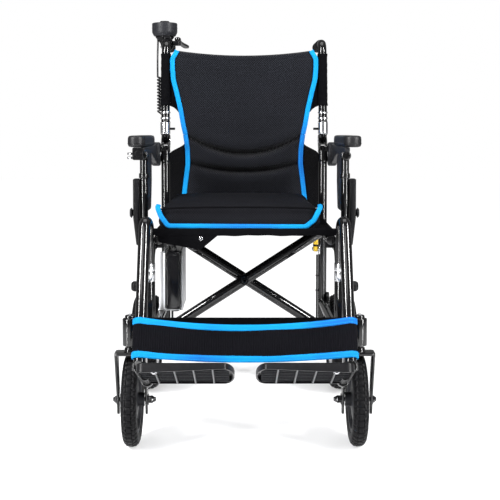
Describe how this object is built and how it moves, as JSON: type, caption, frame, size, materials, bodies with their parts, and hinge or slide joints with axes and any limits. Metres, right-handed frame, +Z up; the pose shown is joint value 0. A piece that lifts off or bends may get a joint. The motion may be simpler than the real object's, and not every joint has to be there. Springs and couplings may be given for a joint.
{
  "type": "transport wheelchair",
  "caption": "Folding transport wheelchair on casters and hub-motor wheels, with cross braces, swing-away footrests, flip-up armrests and an attendant's control.",
  "frame": {"origin": "on the floor, under the middle of the overall width and length", "axes": "+Z up, the chair faces -Y, +X is the rider's left"},
  "size_m": [0.6012, 0.9802, 0.9653],
  "materials": {
    "painted_tube": "gloss black powder coat",
    "black_plastic": "fine satin",
    "steel": "bright plated",
    "aluminium": "satin",
    "tyre": "ribbed solid rubber",
    "grip_rubber": "soft matte",
    "mesh_fabric": "black spacer mesh with azure piping",
    "yellow_plastic": "moulded"
  },
  "bodies": {
    "right_frame": {"right_side_frame": "painted_tube", "right_arm_socket": "black_plastic", "right_battery": "black_plastic", "right_battery_cradle": "aluminium", "right_battery_cable": "grip_rubber", "back_lower": "mesh_fabric"},
    "right_brace": {"right_brace": "painted_tube", "brace_bolt": "steel"},
    "left_brace": {"left_brace": "painted_tube"},
    "left_frame": {"left_side_frame": "painted_tube", "left_arm_socket": "black_plastic", "left_clutch_cable": "grip_rubber"},
    "seat": {"seat_sling": "mesh_fabric", "seat_cushion": "mesh_fabric"},
    "right_back": {"right_upper_cane": "painted_tube", "right_cane_sleeve": "mesh_fabric", "right_grip": "grip_rubber", "back_upper": "mesh_fabric", "right_control_clamp": "black_plastic", "right_control_housing": "black_plastic", "right_curly_cord": "grip_rubber", "right_cord_plug": "black_plastic"},
    "left_back": {"left_upper_cane": "painted_tube", "left_cane_sleeve": "mesh_fabric", "left_grip": "grip_rubber"},
    "right_arm": {"right_arm_frame": "black_plastic", "right_arm_pad": "grip_rubber", "right_arm_guard": "black_plastic", "right_pad_clamp": "black_plastic"},
    "left_arm": {"left_arm_frame": "black_plastic", "left_arm_pad": "grip_rubber", "left_arm_guard": "black_plastic"},
    "right_hanger": {"right_hanger": "painted_tube", "right_hanger_collar": "steel", "calf_strap": "mesh_fabric"},
    "left_hanger": {"left_hanger": "painted_tube", "left_hanger_collar": "steel"},
    "control_dial": {"right_control_dial": "black_plastic"},
    "brake_lever": {"right_brake_lever": "painted_tube"},
    "clutch_lever": {"left_clutch_lever": "yellow_plastic"},
    "left_footplate": {"left_footplate": "black_plastic"},
    "left_fork": {"left_caster_fork": "painted_tube", "left_caster_axle": "steel"},
    "left_caster_wheel": {"left_caster_hub": "black_plastic", "left_caster_tyre": "tyre"},
    "left_drive_wheel": {"left_drive_hub": "aluminium", "left_drive_tyre": "tyre"},
    "left_release_tab": {"left_release_tab": "black_plastic"},
    "left_arm_socket_knob": {"left_arm_socket_knob": "black_plastic"},
    "left_hanger_knob": {"left_hanger_knob": "black_plastic"},
    "right_footplate": {"right_footplate": "black_plastic"},
    "right_fork": {"right_caster_fork": "painted_tube", "right_caster_axle": "steel"},
    "right_caster_wheel": {"right_caster_hub": "black_plastic", "right_caster_tyre": "tyre"},
    "right_drive_wheel": {"right_drive_hub": "aluminium", "right_drive_tyre": "tyre"},
    "right_release_tab": {"right_release_tab": "black_plastic"},
    "right_arm_socket_knob": {"right_arm_socket_knob": "black_plastic"},
    "right_hanger_knob": {"right_hanger_knob": "black_plastic"}
  },
  "joints": [
    {"name": "fold", "type": "hinge", "parent": "right_frame", "child": "right_brace", "pos_m": [-0.184, 0.076, 0.21], "axis": [0, -1, 0], "range_deg": [0, 38], "deforming": ["seat_sling", "seat_cushion", "back_upper", "back_lower", "calf_strap"]},
    {"name": "brace_cross", "type": "hinge", "parent": "right_brace", "child": "left_brace", "pos_m": [0, 0.09, 0.3285], "axis": [0, -1, 0], "range_deg": [-76, 0]},
    {"name": "left_frame_pivot", "type": "hinge", "parent": "left_brace", "child": "left_frame", "pos_m": [0.184, 0.104, 0.21], "axis": [0, -1, 0], "range_deg": [0, 38]},
    {"name": "seat_on_rail", "type": "hinge", "parent": "left_brace", "child": "seat", "pos_m": [-0.184, 0.104, 0.447], "axis": [0, -1, 0], "range_deg": [0, 38]},
    {"name": "right_back_fold", "type": "hinge", "parent": "right_frame", "child": "right_back", "pos_m": [-0.203, 0.352, 0.654], "axis": [-1, 0, 0], "range_deg": [0, 145]},
    {"name": "left_back_fold", "type": "hinge", "parent": "left_frame", "child": "left_back", "pos_m": [0.203, 0.352, 0.654], "axis": [-1, 0, 0], "range_deg": [0, 145]},
    {"name": "right_arm_lift", "type": "hinge", "parent": "right_frame", "child": "right_arm", "pos_m": [-0.229, 0.332, 0.619], "axis": [-1, 0, 0], "range_deg": [0, 80]},
    {"name": "left_arm_lift", "type": "hinge", "parent": "left_frame", "child": "left_arm", "pos_m": [0.229, 0.332, 0.619], "axis": [-1, 0, 0], "range_deg": [0, 80]},
    {"name": "right_hanger_swing", "type": "hinge", "parent": "right_frame", "child": "right_hanger", "pos_m": [-0.203, -0.172, 0.362], "axis": [0, 0, -1], "range_deg": [0, 90]},
    {"name": "left_hanger_swing", "type": "hinge", "parent": "left_frame", "child": "left_hanger", "pos_m": [0.203, -0.172, 0.362], "axis": [0, 0, 1], "range_deg": [0, 90]},
    {"name": "right_footplate_flip", "type": "hinge", "parent": "right_hanger", "child": "right_footplate", "pos_m": [-0.19, -0.34371, 0.18625], "axis": [0, -0.9063, 0.4226], "range_deg": [0, 90]},
    {"name": "left_footplate_flip", "type": "hinge", "parent": "left_hanger", "child": "left_footplate", "pos_m": [0.19, -0.34371, 0.18625], "axis": [0, 0.9063, -0.4226], "range_deg": [0, 90]},
    {"name": "left_caster_swivel", "type": "hinge", "parent": "left_frame", "child": "left_fork", "pos_m": [0.242, -0.1775, 0.218], "axis": [0, 0, 1], "continuous": true},
    {"name": "left_caster_spin", "type": "hinge", "parent": "left_fork", "child": "left_caster_wheel", "pos_m": [0.242, -0.1375, 0.1], "axis": [1, 0, 0], "continuous": true},
    {"name": "left_drive_spin", "type": "hinge", "parent": "left_frame", "child": "left_drive_wheel", "pos_m": [0.2563, 0.3625, 0.125], "axis": [1, 0, 0], "continuous": true},
    {"name": "left_release_tab_press", "type": "slide", "parent": "left_back", "child": "left_release_tab", "axis": [0, 0, -1], "range_m": [0, 0.004], "stiffness_N_per_m": 400},
    {"name": "left_arm_socket_knob_pull", "type": "slide", "parent": "left_frame", "child": "left_arm_socket_knob", "axis": [1, 0, 0], "range_m": [0, 0.006], "stiffness_N_per_m": 600},
    {"name": "left_hanger_knob_pull", "type": "slide", "parent": "left_frame", "child": "left_hanger_knob", "axis": [1, 0, 0], "range_m": [0, 0.008], "stiffness_N_per_m": 600},
    {"name": "right_caster_swivel", "type": "hinge", "parent": "right_frame", "child": "right_fork", "pos_m": [-0.242, -0.1775, 0.218], "axis": [0, 0, 1], "continuous": true},
    {"name": "right_caster_spin", "type": "hinge", "parent": "right_fork", "child": "right_caster_wheel", "pos_m": [-0.242, -0.1375, 0.1], "axis": [1, 0, 0], "continuous": true},
    {"name": "right_drive_spin", "type": "hinge", "parent": "right_frame", "child": "right_drive_wheel", "pos_m": [-0.2563, 0.3625, 0.125], "axis": [1, 0, 0], "continuous": true},
    {"name": "right_release_tab_press", "type": "slide", "parent": "right_back", "child": "right_release_tab", "axis": [0, 0, -1], "range_m": [0, 0.004], "stiffness_N_per_m": 400},
    {"name": "right_arm_socket_knob_pull", "type": "slide", "parent": "right_frame", "child": "right_arm_socket_knob", "axis": [-1, 0, 0], "range_m": [0, 0.006], "stiffness_N_per_m": 600},
    {"name": "right_hanger_knob_pull", "type": "slide", "parent": "right_frame", "child": "right_hanger_knob", "axis": [-1, 0, 0], "range_m": [0, 0.008], "stiffness_N_per_m": 600},
    {"name": "control_dial_turn", "type": "hinge", "parent": "right_back", "child": "control_dial", "pos_m": [-0.208, 0.396, 0.965], "axis": [0, 0, 1], "range_deg": [0, 270]},
    {"name": "brake_squeeze", "type": "hinge", "parent": "right_back", "child": "brake_lever", "pos_m": [-0.173, 0.376, 0.909], "axis": [0, 0, 1], "range_deg": [0, 10], "stiffness_Nm_per_rad": 6},
    {"name": "clutch_throw", "type": "hinge", "parent": "left_frame", "child": "clutch_lever", "pos_m": [0.188, 0.332, 0.372], "axis": [1, 0, 0], "range_deg": [0, 60]}
  ],
  "couplings": [
    {"joint": "brace_cross", "follows": "fold", "ratio": -2},
    {"joint": "left_frame_pivot", "follows": "fold", "ratio": 1},
    {"joint": "seat_on_rail", "follows": "fold", "ratio": 1},
    {"joint": "right_footplate_flip", "follows": "fold", "ratio": 2.3684},
    {"joint": "left_footplate_flip", "follows": "fold", "ratio": 2.3684},
    {"joint": "left_back_fold", "follows": "right_back_fold", "ratio": 1}
  ]
}
